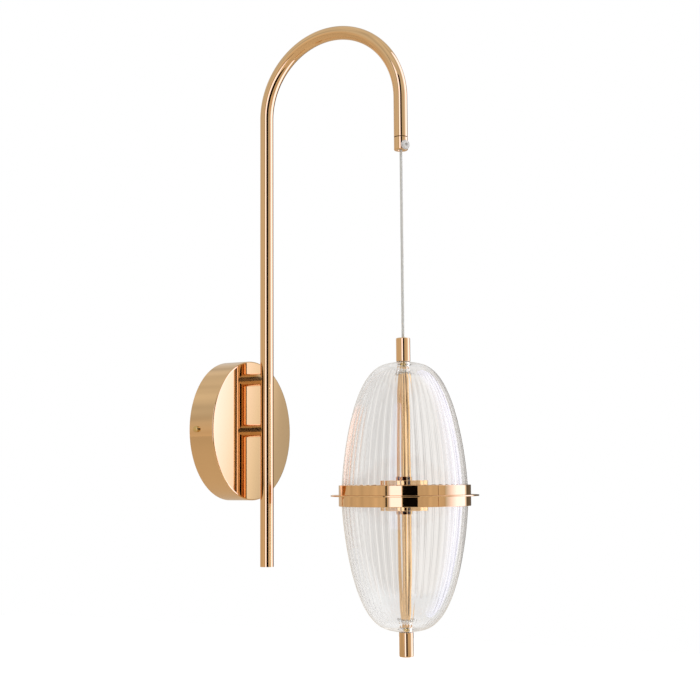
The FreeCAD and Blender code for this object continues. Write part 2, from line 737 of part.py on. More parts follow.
def shade_body(label, lower=False, turned=0.0):
    """A body at the plate's middle, upside down for the lower half."""
    over = Rotation(X_AXIS, 180 if lower else 0)
    spin = Rotation(Z_AXIS, turned).multiply(over)
    return new_body(label, SHADE_Y, SHADE_Z, spin.Axis, math.degrees(spin.Angle))


def ring(label, lower, inner, outer, foot, top):
    """A plain turned ring between two radii and two heights above the plate's middle."""
    body = shade_body(label, lower)
    turn(body, [(inner, foot), (outer, foot), (outer, top), (inner, top)])
    return keep(body)


def mid_plate():
    """Thin round plate between the bands, with holes for the rod, screws and wires."""
    body = shade_body("mid_plate")
    turn(body, [
        (ROD_HOLE, f"-{PLATE_HALF}"), ("size.plate_diameter / 2", f"-{PLATE_HALF}"),
        ("size.plate_diameter / 2", PLATE_HALF), (ROD_HOLE, PLATE_HALF),
    ])
    hub_holes(body, "size.plate_thickness + size.overrun")
    return keep(body)


def hub_holes(body, depth):
    """Screw and wire holes through the plate or a hub's floor."""
    screw = new_sketch(body, "screw_hole", "XY_Plane")
    circle(screw, "size.hub_screw_diameter + 2 * size.slip_clearance",
           "size.hub_screw_circle / 2")
    around(body, pocket(body, screw, depth, midplane=True), "size.hub_screw_count")
    wires = new_sketch(body, "jumper_holes", "XY_Plane")
    for side in ("-", ""):
        circle(wires, "size.jumper_diameter + 2 * size.hole_clearance",
               "-size.jumper_circle / 2 * cos(size.jumper_angle * 1 deg)",
               f"{side}size.jumper_circle / 2 * sin(size.jumper_angle * 1 deg)")
    pocket(body, wires, depth, midplane=True)


def band(label, lower):
    """Polished ring band round the glass, with the fine seam of its rolled strip."""
    body = shade_body(label, lower, -value("size.band_seam_angle"))
    outer = "size.band_diameter / 2"
    inner = f"{outer} - size.band_wall"
    top = "size.band_height / 2"
    turn(body, [(inner, PLATE_HALF), (outer, PLATE_HALF), (outer, top), (inner, top)])
    seam = new_sketch(body, "seam", "XZ_Plane")
    half = "size.band_seam_width / 2"
    outline(seam, [(f"-{half}", f"{PLATE_HALF} - size.overrun"),
                   (half, f"{PLATE_HALF} - size.overrun"),
                   (half, f"{top} + size.overrun"), (f"-{half}", f"{top} + size.overrun")])
    pocket(body, seam, f"{outer} + size.overrun", reverse=not lower)
    return keep(body)


def hub(label, lower):
    """Turned hub half with a floor on the plate, seats for board and diffuser, and a boss."""
    body = shade_body(label, lower)
    outer, boss = "size.hub_diameter / 2", "size.hub_boss_diameter / 2"
    cavity = "size.hub_cavity_diameter / 2"
    turn(body, [
        (ROD_HOLE, PLATE_HALF), (outer, PLATE_HALF), (outer, "size.hub_height"),
        (DIFFUSER_BORE, "size.hub_height"), (DIFFUSER_BORE, DIFFUSER_SEAT),
        (BOARD_BORE, DIFFUSER_SEAT), (BOARD_BORE, BOARD_SEAT), (cavity, BOARD_SEAT),
        (cavity, HUB_FLOOR_TOP), (boss, HUB_FLOOR_TOP), (boss, "size.hub_height"),
        (ROD_HOLE, "size.hub_height"),
    ])
    hub_holes(body, f"2 * {HUB_FLOOR_TOP} + size.overrun")
    if not lower:
        wire = new_sketch(body, "wire_hole", "YZ_Plane")
        circle(wire, "size.cord_diameter + 2 * size.hole_clearance", "0", WIRE_LEVEL)
        pocket(body, wire, f"{boss} + size.overrun", reverse=True)
    return keep(body)


def light_board(label, lower):
    """Ring board on the hub's inner seat, with a circle of light chips on its face."""
    body = shade_body(label, lower)
    inner = "size.hub_boss_diameter / 2 + size.slip_clearance"
    outer = f"{BOARD_BORE} - size.slip_clearance"
    top = f"{BOARD_SEAT} + size.board_thickness"
    turn(body, [(inner, BOARD_SEAT), (outer, BOARD_SEAT), (outer, top), (inner, top)])
    chip = new_sketch(body, "chip", "XY_Plane", top)
    near_side = "(size.chip_ring_diameter - size.chip_size) / 2"
    far_side = "(size.chip_ring_diameter + size.chip_size) / 2"
    half = "size.chip_size / 2"
    outline(chip, [(near_side, f"-{half}"), (far_side, f"-{half}"), (far_side, half),
                   (near_side, half)])
    around(body, pad(body, chip, "size.chip_height"), "size.chip_count")
    return keep(body)


def locknut(label, lower):
    """Hexagon nut on the centre rod that clamps the hub to the plate."""
    sign, angle = ("-", 180) if lower else ("+", 0)
    seat = f"{SHADE_Z} {sign} size.hub_height"
    hexagon = prism(f"{label}_blank", "size.locknut_flats", "size.locknut_height",
                    y=SHADE_Y, z=seat, axis=X_AXIS, angle=angle)
    reverse = "+" if lower else "-"
    bore = cylinder(f"{label}_bore", "size.centre_rod_diameter + 2 * size.thread_clearance",
                    "size.locknut_height + 2 * size.overrun", y=SHADE_Y,
                    z=f"{seat} {reverse} size.overrun", axis=X_AXIS, angle=angle)
    return keep(cut(label, hexagon, bore))


def oval_radius(height, reach, length):
    """Radius of the glass oval at a height: full at the rim and closing at the pole."""
    side, rise = value("size.glass_side_power"), value("size.glass_height_power")
    return reach * max(0.0, 1 - (height / length) ** rise) ** (1 / side)


def oval_height(radius, reach, length):
    """Height of the glass oval at a radius."""
    side, rise = value("size.glass_side_power"), value("size.glass_height_power")
    return length * (1 - (radius / reach) ** side) ** (1 / rise)


def glass_skin(foot, reach, length, hole):
    """Solid of the glass's outer oval from its rim to a flat round the rod's hole."""
    flat = value("size.finial_diameter / 2")
    start = math.asin(foot / length)
    end = math.asin(oval_height(flat, reach, length) / length)
    heights = [length * math.sin(start + (end - start) * step / OVAL_STEPS)
               for step in range(OVAL_STEPS + 1)]
    curve = Part.BSplineCurve()
    curve.interpolate([Vector(oval_radius(height, reach, length), 0, height)
                       for height in heights])
    rim, edge = curve.StartPoint, curve.EndPoint
    corners = [edge, Vector(flat, 0, length), Vector(hole, 0, length), Vector(hole, 0, foot), rim]
    lines = [Part.LineSegment(a, b).toShape() for a, b in zip(corners, corners[1:])]
    profile = Part.Wire([curve.toShape()] + lines)
    skin = Part.Face(profile).revolve(Vector(), Z_AXIS, 360)
    if skin.Volume < 0:
        skin.reverse()
    return skin


def fluted_void(foot, reach, ceiling):
    """Solid of the space inside the glass, with hollow flutes from rim to pole."""
    top_radius = value("size.glass_ceiling_diameter / 2")
    side, rise = value("size.glass_side_power"), value("size.glass_height_power")
    length = ceiling / (1 - (top_radius / reach) ** side) ** (1 / rise)
    count = round(value("size.flute_count"))
    depth_share = value("size.flute_depth") / reach
    wires = []
    for share in VOID_SHARES:
        height = ceiling * share if share else -value("size.overrun") + foot
        radius = oval_radius(max(height, 0), reach, length)
        ridge = radius * (1 - depth_share)
        arcs = []
        for step in range(count):
            first, middle, last = (2 * math.pi * (step + part) / count for part in (0, 0.5, 1))
            arcs.append(Part.Arc(polar(ridge, first, height), polar(radius, middle, height),
                                 polar(ridge, last, height)).toShape())
        wires.append(Part.Wire(arcs))
    return Part.makeLoft(wires, True, False)


def polar(radius, angle, height):
    """A point at a radius and angle about the upright axis."""
    return Vector(radius * math.cos(angle), radius * math.sin(angle), height)


def glass(label, lower):
    """Clear half shell: smooth oval outside, fluted inside, thick at the pole."""
    foot, reach = value(GLASS_FOOT), value("size.glass_diameter / 2")
    hole = value("size.centre_rod_diameter / 2 + size.hole_clearance")
    skin = glass_skin(foot, reach, value("size.glass_height"), hole)
    void = fluted_void(foot, reach - value("size.glass_wall"), value(GLASS_CEILING))
    thing = doc.addObject("Part::Feature", label)
    thing.Shape = skin.cut(void)
    return keep(place(thing, y=SHADE_Y, z=SHADE_Z, axis=X_AXIS, angle=180 if lower else 0))


def finial(label, lower):
    """Turned finial on the centre rod; the upper one holds the cord's anchor."""
    body = shade_body(label, lower)
    outer = "size.finial_diameter / 2"
    thread = "size.centre_rod_diameter / 2 + size.thread_clearance"
    top = f"{FINIAL_FOOT} + size.finial_length"
    shoulder = f"{FINIAL_FOOT} + size.finial_thread_depth"
    corners = [(thread, FINIAL_FOOT), (outer, FINIAL_FOOT), (outer, top)]
    if lower:
        corners += [("0", top), ("0", shoulder), (thread, shoulder)]
    else:
        pocket_bore = "size.anchor_diameter / 2 + size.hole_clearance"
        exit_bore = "size.cord_diameter / 2 + size.hole_clearance"
        ceiling = f"{FINIAL_FOOT} + {POCKET_TOP}"
        corners += [(exit_bore, top), (exit_bore, ceiling), (pocket_bore, ceiling),
                    (pocket_bore, shoulder), (thread, shoulder)]
    turn(body, corners)
    height, rim = value(top), value(outer)
    round_edges(body, "size.finial_edge_round",
                lambda r, c: near(c.z, height) and near(r, rim))
    return keep(body)


def centre_rod():
    """Hollow threaded rod from finial to finial, with a side hole for the lead."""
    body = shade_body("centre_rod")
    reach = f"({FINIAL_FOOT} + size.centre_rod_engagement)"
    bore, outer = "size.centre_rod_bore / 2", "size.centre_rod_diameter / 2"
    turn(body, [(bore, f"-{reach}"), (outer, f"-{reach}"), (outer, reach), (bore, reach)])
    wire = new_sketch(body, "wire_hole", "YZ_Plane")
    circle(wire, "size.cord_diameter + 2 * size.hole_clearance", "0", WIRE_LEVEL)
    pocket(body, wire, f"{outer} + size.overrun", reverse=True)
    return keep(body)


def hub_fixings():
    """Screws that join the hub halves through the plate, and wires between the boards."""
    screws, wires = [], []
    radius, count = "size.hub_screw_circle / 2", round(value("size.hub_screw_count"))
    for step in range(count):
        turned = f"{360 * step / count} deg"
        x, y = f"{radius} * cos({turned})", f"{SHADE_Y} + {radius} * sin({turned})"
        shank = cylinder("hub_screw_shank", "size.hub_screw_diameter", f"2 * {HUB_FLOOR_TOP}",
                         x=x, y=y, z=f"{SHADE_Z} - {HUB_FLOOR_TOP}")
        head = cylinder("hub_screw_head", "size.hub_screw_head_diameter",
                        "size.hub_screw_head_height", x=x, y=y, z=f"{SHADE_Z} + {HUB_FLOOR_TOP}")
        screws.append(fuse("hub_screw", [shank, head]))
    for side in ("-", "+"):
        wires.append(cylinder("jumper", "size.jumper_diameter", f"2 * {BOARD_SEAT}",
                              x="-size.jumper_circle / 2 * cos(size.jumper_angle * 1 deg)",
                              y=f"{SHADE_Y} {side} size.jumper_circle / 2"
                                " * sin(size.jumper_angle * 1 deg)",
                              z=f"{SHADE_Z} - {BOARD_SEAT}"))
    keep(group("hub_screws", screws))
    keep(group("board_jumpers", wires))


def shade_half(side, lower):
    """Every piece of one half of the shade, from the plate out to the finial."""
    band(f"band_{side}", lower)
    hub(f"hub_{side}", lower)
    light_board(f"led_board_{side}", lower)
    boss_clear = "size.hub_boss_diameter / 2 + size.slip_clearance"
    ring(f"diffuser_{side}", lower, boss_clear, f"{DIFFUSER_BORE} - size.slip_clearance",
         DIFFUSER_SEAT, f"{DIFFUSER_SEAT} + size.diffuser_thickness")
    locknut(f"{side}_locknut", lower)
    washer_foot = f"{GLASS_CEILING} - size.inner_washer_thickness"
    ring(f"{side}_sleeve", lower, ROD_HOLE, "size.sleeve_diameter / 2",
         "size.hub_height + size.locknut_height", washer_foot)
    rod_clear = "size.centre_rod_diameter / 2 + size.hole_clearance"
    ring(f"{side}_inner_washer", lower, rod_clear, "size.inner_washer_diameter / 2",
         washer_foot, GLASS_CEILING)
    ring(f"{side}_rim_gasket", lower, "size.glass_diameter / 2 - size.glass_wall",
         "size.glass_diameter / 2", PLATE_HALF, GLASS_FOOT)
    glass(f"{side}_glass", lower)
    ring(f"{side}_finial_gasket", lower, rod_clear, "size.finial_diameter / 2",
         "size.glass_height", FINIAL_FOOT)
    finial(f"{side}_finial", lower)


def check_and_write():
    """Stops on any failed object or bad shape, then writes one file for each sub-part."""
    doc.recompute()
    for thing in doc.Objects:
        if {"Invalid", "Error"} & set(thing.State):
            raise SystemExit(f"{thing.Label} failed: {thing.State}")
    for part in subparts:
        if part.Shape.isNull() or not part.Shape.isValid() or not part.Shape.Solids:
            raise SystemExit(f"{part.Label} has no valid solid")
    os.makedirs("parts", exist_ok=True)
    for part in subparts:
        part.Shape.exportStep(os.path.join("parts", f"{part.Label}.step"))
        print(f"{part.Label}: {len(part.Shape.Solids)} solid(s), {part.Shape.Volume:.1f} mm3")


canopy_cup()
wall_bracket()
canopy_side_screws()
terminal_block()
earth_screw()
led_driver()
driver_input_leads()
stud("stud_lower", "0")
stud("stud_upper", STUD_Z)
stud_fixings()
arm_tube()
arm_end_cap()
grip_screw()
lead_in_arm()
hanging_cord()
mid_plate()
shade_half("upper", lower=False)
shade_half("lower", lower=True)
centre_rod()
inner_lead()
hub_fixings()
check_and_write()
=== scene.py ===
import math

import bmesh
import bpy
import numpy as np
from mathutils import Matrix, Vector


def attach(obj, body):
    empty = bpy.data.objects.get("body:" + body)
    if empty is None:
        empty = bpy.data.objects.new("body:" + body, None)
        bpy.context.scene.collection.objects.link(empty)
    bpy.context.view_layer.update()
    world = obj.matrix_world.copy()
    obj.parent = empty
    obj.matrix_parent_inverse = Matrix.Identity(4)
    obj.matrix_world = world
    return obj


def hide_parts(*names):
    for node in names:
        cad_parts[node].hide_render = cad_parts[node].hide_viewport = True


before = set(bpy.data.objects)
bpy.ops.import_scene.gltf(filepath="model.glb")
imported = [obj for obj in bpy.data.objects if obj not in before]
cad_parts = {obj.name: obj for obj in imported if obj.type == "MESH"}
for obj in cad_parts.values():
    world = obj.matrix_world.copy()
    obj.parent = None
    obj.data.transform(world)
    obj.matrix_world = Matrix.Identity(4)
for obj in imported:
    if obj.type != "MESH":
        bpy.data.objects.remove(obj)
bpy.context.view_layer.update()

# Wall sconce: polished gold arm and wall cup, a clear fluted glass egg on a thin clear cord.
# Shapes are written in millimetres and set in metres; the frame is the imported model's own.

MM = 0.001
TURN = 2 * math.pi

ROD_Y = -39.5           # axis of the straight rod
SHADE_Y = -177.5        # axis of the cord and the shade
PLATE_Z = -58.0         # middle of the plate between the glass halves
CAP_FOOT = 238.0        # where the cord leaves the arm
CLEAR = 0.02            # left free between pieces that meet
FINE = 192              # segments round a large turned piece
ROUND = 96              # segments round a small turned piece


# Camera

CAMERA_PLACE = (-0.96214, -0.66801, -0.04293)
CAMERA_AZIMUTH, CAMERA_PITCH, CAMERA_ROLL = -60.591, 5.7186, -0.3936
FOCAL_PIXELS, FRAME_PIXELS, SENSOR = 1276.27, 700, 36.0


def make_camera():
    """Camera turned by azimuth about Z, then pitched up, then rolled about its own line of sight."""
    az, pitch, roll = (math.radians(a) for a in (CAMERA_AZIMUTH, CAMERA_PITCH, CAMERA_ROLL))
    ahead = Vector((-math.sin(az) * math.cos(pitch), math.cos(az) * math.cos(pitch), math.sin(pitch)))
    level = Vector((math.cos(az), math.sin(az), 0))
    upward = level.cross(ahead)
    right = level * math.cos(roll) + upward * math.sin(roll)
    up = upward * math.cos(roll) - level * math.sin(roll)
    data = bpy.data.cameras.new("camera")
    data.sensor_width = SENSOR
    data.lens = FOCAL_PIXELS / FRAME_PIXELS * SENSOR
    camera = bpy.data.objects.new("camera", data)
    bpy.context.scene.collection.objects.link(camera)
    turn = Matrix((right, up, -ahead)).transposed().to_4x4()
    camera.matrix_world = Matrix.Translation(CAMERA_PLACE) @ turn
    bpy.context.scene.camera = camera


# Shader nodes

def new_material(name):
    """A material with nodes: its tree, its Principled shader and its Object coordinates."""
    material = bpy.data.materials.new(name)
    material.use_nodes = True
    nodes = material.node_tree.nodes
    shader = next(n for n in nodes if n.type == "BSDF_PRINCIPLED")
    coords = nodes.new("ShaderNodeTexCoord")
    return material, material.node_tree, shader, coords.outputs["Object"]


def feed(tree, socket, value):
    """Links a socket to another node's output, or sets it to a plain value."""
    if isinstance(value, bpy.types.NodeSocket):
        tree.links.new(value, socket)
    else:
        socket.default_value = value


def set_sockets(tree, node, **values):
    """Feeds sockets by name, with underscores for spaces."""
    for name, value in values.items():
        feed(tree, node.inputs[name.replace("_", " ")], value)


def noise(tree, coords, scale, detail=2.0, rough=0.5, stretch=None):
    """A noise pattern on the given coordinates, drawn out along an axis whose stretch is below 1."""
    if stretch:
        mapping = tree.nodes.new("ShaderNodeMapping")
        set_sockets(tree, mapping, Vector=coords, Scale=stretch)
        coords = mapping.outputs["Vector"]
    node = tree.nodes.new("ShaderNodeTexNoise")
    set_sockets(tree, node, Vector=coords, Scale=scale, Detail=detail, Roughness=rough)
    return node.outputs["Fac"]


def spread(tree, factor, low, high, start=0.3, stop=0.7):
    """A pattern's value carried from start to stop onto low to high, and held there beyond both ends."""
    node = tree.nodes.new("ShaderNodeMapRange")
    set_sockets(tree, node, Value=factor, From_Min=start, From_Max=stop, To_Min=low, To_Max=high)
    return node.outputs["Result"]


def ramp(tree, factor, stops):
    """A colour ramp through (place, colour) stops."""
    node = tree.nodes.new("ShaderNodeValToRGB")
    keys = node.color_ramp.elements
    while len(keys) < len(stops):
        keys.new(0.5)
    for key, (place, colour) in zip(keys, stops):
        key.position, key.color = place, (*colour, 1)
    set_sockets(tree, node, Fac=factor)
    return node.outputs["Color"]


def combine(tree, operation, first, second):
    """Two vectors, colours or numbers joined by ADD, MULTIPLY or DOT_PRODUCT, which gives one number."""
    node = tree.nodes.new("ShaderNodeVectorMath")
    node.operation = operation
    feed(tree, node.inputs[0], first)
    feed(tree, node.inputs[1], second)
    return node.outputs["Value" if operation == "DOT_PRODUCT" else "Vector"]


def mixed(tree, factor, *colours):
    """The first colour where the factor is 0, the second where it is 1 or more. A plain number is a grey."""
    mix = tree.nodes.new("ShaderNodeMix")
    mix.data_type = "RGBA"
    feed(tree, mix.inputs["Factor"], factor)
    for socket, colour in zip((i for i in mix.inputs if i.type == "RGBA"), colours):
        if isinstance(colour, (int, float)):
            colour = (colour, colour, colour)
        feed(tree, socket, colour if isinstance(colour, bpy.types.NodeSocket) else (*colour, 1))
    return next(o for o in mix.outputs if o.type == "RGBA")


def by_ray(tree, base, **shades):
    """A colour for each kind of ray: the base for light that falls on things, then Glossy, Transmission
    and Camera. A ray through glass counts as a mirror's too, so the later kinds replace the earlier."""
    rays = tree.nodes.new("ShaderNodeLightPath")
    for kind, shade in shades.items():
        base = mixed(tree, rays.outputs[f"Is {kind} Ray"], base, shade)
    return base


def bump(tree, height, strength, distance):
    """The normals of a bump with the given height pattern."""
    node = tree.nodes.new("ShaderNodeBump")
    set_sockets(tree, node, Strength=strength, Distance=distance, Height=height)
    return node.outputs["Normal"]


# Materials

def polished_metal(name, colour, rough_low, rough_high, wave):
    """Buffed plated metal: cloudy roughness from handling and a faint long wave in the surface."""
    material, tree, shader, coords = new_material(name)
    cloud = noise(tree, coords, scale=70, detail=4, rough=0.6)
    ripple = noise(tree, coords, scale=45, detail=1)
    set_sockets(tree, shader, Base_Color=(*colour, 1), Metallic=1.0,
                Roughness=spread(tree, cloud, rough_low, rough_high),
                Normal=bump(tree, ripple, strength=wave, distance=0.4 * MM))
    return material


def plain_plastic(name, colour, rough, grain=900, depth=0.08):
    """Moulded plastic or rubber: slightly uneven roughness and a fine moulded grain."""
    material, tree, shader, coords = new_material(name)
    cloud = noise(tree, coords, scale=120, detail=3)
    set_sockets(tree, shader, Base_Color=(*colour, 1),
                Roughness=spread(tree, cloud, rough * 0.8, rough * 1.2),
                Normal=bump(tree, noise(tree, coords, grain), strength=depth, distance=0.2 * MM))
    return material


def clear_material(name, colour, index, rough, wave_scale, wave_depth, clear=1.0, stretch=None):
    """Clear or milky glass or plastic with a soft wave in its surface, which a stretch draws into streaks."""
    material, tree, shader, coords = new_material(name)
    cloud = noise(tree, coords, wave_scale)
    ripple = noise(tree, coords, wave_scale, detail=1, stretch=stretch)
    set_sockets(tree, shader, Base_Color=(*colour, 1), Transmission_Weight=clear, IOR=index,
                Specular_IOR_Level=0.3, Roughness=spread(tree, cloud, rough * 0.5, rough * 1.5),
                Normal=bump(tree, ripple, strength=wave_depth, distance=0.5 * MM))
    return material


GOLD = (0.80, 0.53, 0.28)
gold = polished_metal("polished_gold", GOLD, 0.03, 0.055, 0.012)
turned_gold = polished_metal("turned_gold", GOLD, 0.2, 0.3, 0.03)
brass = polished_metal("screw_brass", (0.70, 0.50, 0.20), 0.12, 0.2, 0.05)
# Near-black brown: painted shade for the seam where the cap's spigot shows under the arm's leg
seam_shade_brass = polished_metal("painted_seam_shade_brass", (0.16, 0.10, 0.05), 0.35, 0.5, 0.05)
steel = polished_metal("zinc_steel", (0.62, 0.63, 0.65), 0.22, 0.36, 0.15)
crimp = polished_metal("crimp_metal", (0.66, 0.66, 0.67), 0.3, 0.4, 0.1)
glass = clear_material("clear_glass", (0.996, 0.994, 0.991), 1.5, 0.01, 75, 0.9, stretch=(1, 1, 0.06))
nylon = clear_material("clear_nylon", (0.9, 0.88, 0.86), 1.5, 0.2, 200, 0.05, 0.25)
sheath = clear_material("clear_cord", (0.84, 0.83, 0.78), 1.45, 0.15, 400, 0.05, 0.3)
white_plastic = plain_plastic("white_plastic", (0.78, 0.78, 0.75), 0.5)
foam = plain_plastic("foam_pad", (0.05, 0.05, 0.05), 0.9, 500, 0.5)
red_wire = plain_plastic("red_wire", (0.42, 0.03, 0.02), 0.35)
board_white = plain_plastic("board_white", (0.8, 0.8, 0.76), 0.4, 1500, 0.05)
opal = plain_plastic("opal_plastic", (0.82, 0.82, 0.78), 0.3, 300, 0.02)
silicone = clear_material("silicone", (0.9, 0.9, 0.88), 1.41, 0.1, 400, 0.05, 0.9)
tinned = polished_metal("tinned_core", (0.62, 0.62, 0.63), 0.3, 0.45, 0.2)
copper = polished_metal("copper_core", (0.72, 0.50, 0.33), 0.3, 0.45, 0.2)


# Surfaces

MERGE_REACH, SLIVER = 1e-7, 1e-8        # metres
SHARP_ANGLE = math.radians(35)


def add_mesh(name, points, faces, material):
    """A smooth-shaded mesh piece at the origin from points in millimetres."""
    mesh = bpy.data.meshes.new(name)
    mesh.from_pydata((np.asarray(points) * MM).tolist(), [], faces)
    mesh.validate()
    mesh.shade_smooth()
    mesh.materials.append(material)
    piece = bpy.data.objects.new(name, mesh)
    bpy.context.scene.collection.objects.link(piece)
    return piece


def grid_faces(rows, columns, wrap_rows=True):
    """Quads between neighbours of a grid whose point r * columns + c is at row r and column c. The columns
    close on themselves, and so do the rows where asked."""
    r = np.arange(rows if wrap_rows else rows - 1)[:, None]
    c = np.arange(columns)[None, :]
    r2, c2 = (r + 1) % rows, (c + 1) % columns
    quads = np.stack([r * columns + c, r * columns + c2, r2 * columns + c2, r2 * columns + c], -1)
    return quads.reshape(-1, 4).tolist()


def end_faces(rows, columns):
    """One face over the first row of such a grid and one over its last."""
    return [list(range(columns)), list(range((rows - 1) * columns, rows * columns))]


def circle(segments):
    """Angles of so many even steps round a circle."""
    return np.linspace(0, TURN, segments, endpoint=False)


def section(inner, outer, low, high, rounds):
    """Corners of a rectangular section from its inner low one on, with their roundings."""
    return list(zip((inner, outer, outer, inner), (low, low, high, high), rounds))


def rounded_profile(corners, steps=5, hold=0.15):
    """A profile of (radius, height, round) corners. A corner with a round becomes an arc tangent to both
    its sides, about a centre on the bisector, round / sin(half the corner's angle) from the corner. Just
    outside each end of the arc, where there is room, stands a point that holds the shading."""
    points = []
    spots = np.array([c[:2] for c in corners], float)
    for i, (spot, radius) in enumerate(zip(spots, (c[2] for c in corners))):
        before, after = spots[i - 1], spots[(i + 1) % len(spots)]
        if not radius:
            points.append(spot)
            continue
        back, on = before - spot, after - spot
        back_length, on_length = np.linalg.norm(back), np.linalg.norm(on)
        back, on = back / back_length, on / on_length
        half = math.acos(np.clip(back @ on, -1, 1)) / 2
        reach = radius / math.tan(half)
        middle = (back + on) / np.linalg.norm(back + on)
        centre = spot + middle * radius / math.sin(half)
        first, last = spot + back * reach, spot + on * reach
        sweep = np.linspace(0, 1, steps + 1)[:, None]
        a, b = first - centre, last - centre
        full = math.pi - 2 * half
        arc = centre + (a * np.sin((1 - sweep) * full) + b * np.sin(sweep * full)) / math.sin(full)
        if back_length > reach + 2 * hold:
            points.append(first + back * hold)
        points += list(arc)
        if on_length > reach + 2 * hold:
            points.append(last + on * hold)
    return np.array(points)


def finish_shell(piece):
    """Merges points that meet at a pole or seam and turns every face outwards."""
    shell = bmesh.new()
    shell.from_mesh(piece.data)
    bmesh.ops.remove_doubles(shell, verts=shell.verts, dist=MERGE_REACH)
    bmesh.ops.dissolve_degenerate(shell, edges=shell.edges, dist=SLIVER)
    bmesh.ops.recalc_face_normals(shell, faces=shell.faces)
    shell.to_mesh(piece.data)
    shell.free()
    piece.data.shade_smooth()
    piece.data.set_sharp_from_angle(angle=SHARP_ANGLE)
    return piece


def turned(name, corners, material, centre, axis="Z", flip=1, segments=ROUND, steps=5):
    """A turned piece: the closed profile goes once round the axis, Z or Y, through the centre.
    Point = centre + radius * (cos a, sin a) across the axis + flip * height along it."""
    profile = rounded_profile(corners, steps)
    radius, height = profile[:, 0], profile[:, 1] * flip
    angle = circle(segments)
    across, along = radius[:, None] * np.cos(angle), radius[:, None] * np.sin(angle)
    lift = np.repeat(height[:, None], segments, 1)
    if axis == "Y":
        points = np.stack([along, lift, across], -1)
    else:
        points = np.stack([across, along, lift], -1)
    points = points + np.array(centre, float)
    return finish_shell(add_mesh(name, points.reshape(-1, 3), grid_faces(len(profile), segments), material))


def swept_tube(name, path, side, radius, bore, material):
    """A bent tube: at each path point stands a circle square to the path.
    Point = path point + radius * (side * cos a + normal * sin a). The bore is the same, smaller."""
    path = np.array(path, float)
    ahead = np.gradient(path, axis=0)
    ahead /= np.linalg.norm(ahead, axis=1)[:, None]
    side = np.array(side, float)
    normal = np.cross(ahead, side)
    angle = circle(ROUND)

    def skin(r):
        return (path[:, None] + r * (np.cos(angle)[None, :, None] * side
                                     + np.sin(angle)[None, :, None] * normal[:, None]))

    points = np.concatenate([skin(radius), skin(bore)[::-1]])
    return finish_shell(add_mesh(name, points.reshape(-1, 3), grid_faces(len(points), ROUND), material))


def dress(piece, body, node):
    """A finished piece rides on its body and stands for its node, whose own mesh is hidden."""
    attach(piece, body)
    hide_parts(node)


# Wall cup and arm

CUP_RADIUS, CUP_DEPTH, CUP_WALL = 62.5, 25.0, 1.0
POST_HEIGHTS = {"lower": 0.0, "upper": 46.0}
POST_HOLE, POST_NECK, POST_RADIUS, POST_BORE = 5.15, 5.0, 5.8, 2.5
POST_END, POST_STEP, POST_HOLD, POST_RING = -16.0, 0.1, 0.15, 6.0   # Y inside the cup, and the rows' spacing
TUBE_RADIUS, TUBE_BORE = 6.0, 4.8
ROD_FOOT, ARCH_FOOT = -121.0, 285.0
ARCH_RADIUS = (ROD_Y - SHADE_Y) / 2
ARCH_RINGS, ROD_RINGS, TUBE_HOLD = 97, 14, 0.2
CAP_HEIGHT, CAP_SEAM = 11.0, 0.65
CAP_BORE, CAP_FLOOR, CORD_HOLE, FLARE = 3.1, 1.2, 2.4, 0.5
SPIGOT_RADIUS, SPIGOT_TOP, PLUG_HEIGHT = 4.75, 20.5, 3.0


def make_cup():
    """Pressed cup: a profile of radius and Y with a rounded rim, turned about Y and open at the back."""
    inner, inside = CUP_RADIUS - CUP_WALL, CUP_WALL - CUP_DEPTH
    corners = [(POST_HOLE, -CUP_DEPTH, 0), (CUP_RADIUS, -CUP_DEPTH, 1.2), (CUP_RADIUS, 0, 0.25),
               (inner, 0, 0.25), (inner, inside, 1.5), (POST_HOLE, inside, 0)]
    cup = turned("canopy_shell", corners, gold, centre=(0, 0, 0), axis="Y", segments=2 * FINE, steps=8)
    dress(cup, "lamp", "canopy_cup")


def make_posts():
    """Hollow posts from the cup to the rod. Point = radius * (cos a, sin a) at each row's Y, and the end
    at the rod is a saddle: Y = rod Y + square root of (tube radius squared - x squared)."""
    face = -CUP_DEPTH
    rows = [(POST_NECK, POST_END), (POST_NECK, face + POST_STEP), (POST_RADIUS, face),
            (POST_RADIUS, face - POST_HOLD), (POST_RADIUS, face - POST_RING), (POST_RADIUS, None),
            (POST_BORE, None), (POST_BORE, POST_END)]
    angle = circle(ROUND)
    for side, height in POST_HEIGHTS.items():
        points = []
        for r, y in rows:
            x, z = r * np.cos(angle), r * np.sin(angle)
            saddle = ROD_Y + np.sqrt(TUBE_RADIUS ** 2 - x ** 2) - CLEAR
            points.append(np.stack([x, saddle if y is None else np.full(ROUND, y), z + height], -1))
        post = add_mesh(f"{side}_post", np.concatenate(points), grid_faces(len(rows), ROUND), turned_gold)
        dress(finish_shell(post), "lamp", f"stud_{side}")


def make_arm():
    """Straight rod, half circle and straight outer leg: one tube along one path. The leg ends a little above
    the cap, so that a seam shows there."""
    arch_y = ROD_Y - ARCH_RADIUS
    leg_foot = CAP_FOOT + CAP_HEIGHT + CAP_SEAM
    rod = (ROD_FOOT, ROD_FOOT + TUBE_HOLD, *np.linspace(ROD_FOOT + 11, ARCH_FOOT - 5, ROD_RINGS))
    leg = (ARCH_FOOT - 15, ARCH_FOOT - 30, leg_foot)
    up = [(0, ROD_Y, z) for z in (*rod, ARCH_FOOT - TUBE_HOLD)]
    bend = [(0, arch_y + ARCH_RADIUS * math.cos(a), ARCH_FOOT + ARCH_RADIUS * math.sin(a))
            for a in np.linspace(0, math.pi, ARCH_RINGS)]
    down = [(0, SHADE_Y, z) for z in (ARCH_FOOT - TUBE_HOLD, *leg)]
    arm = swept_tube("arm", up + bend + down, (1, 0, 0), TUBE_RADIUS, TUBE_BORE, gold)
    dress(arm, "lamp", "arm_tube")


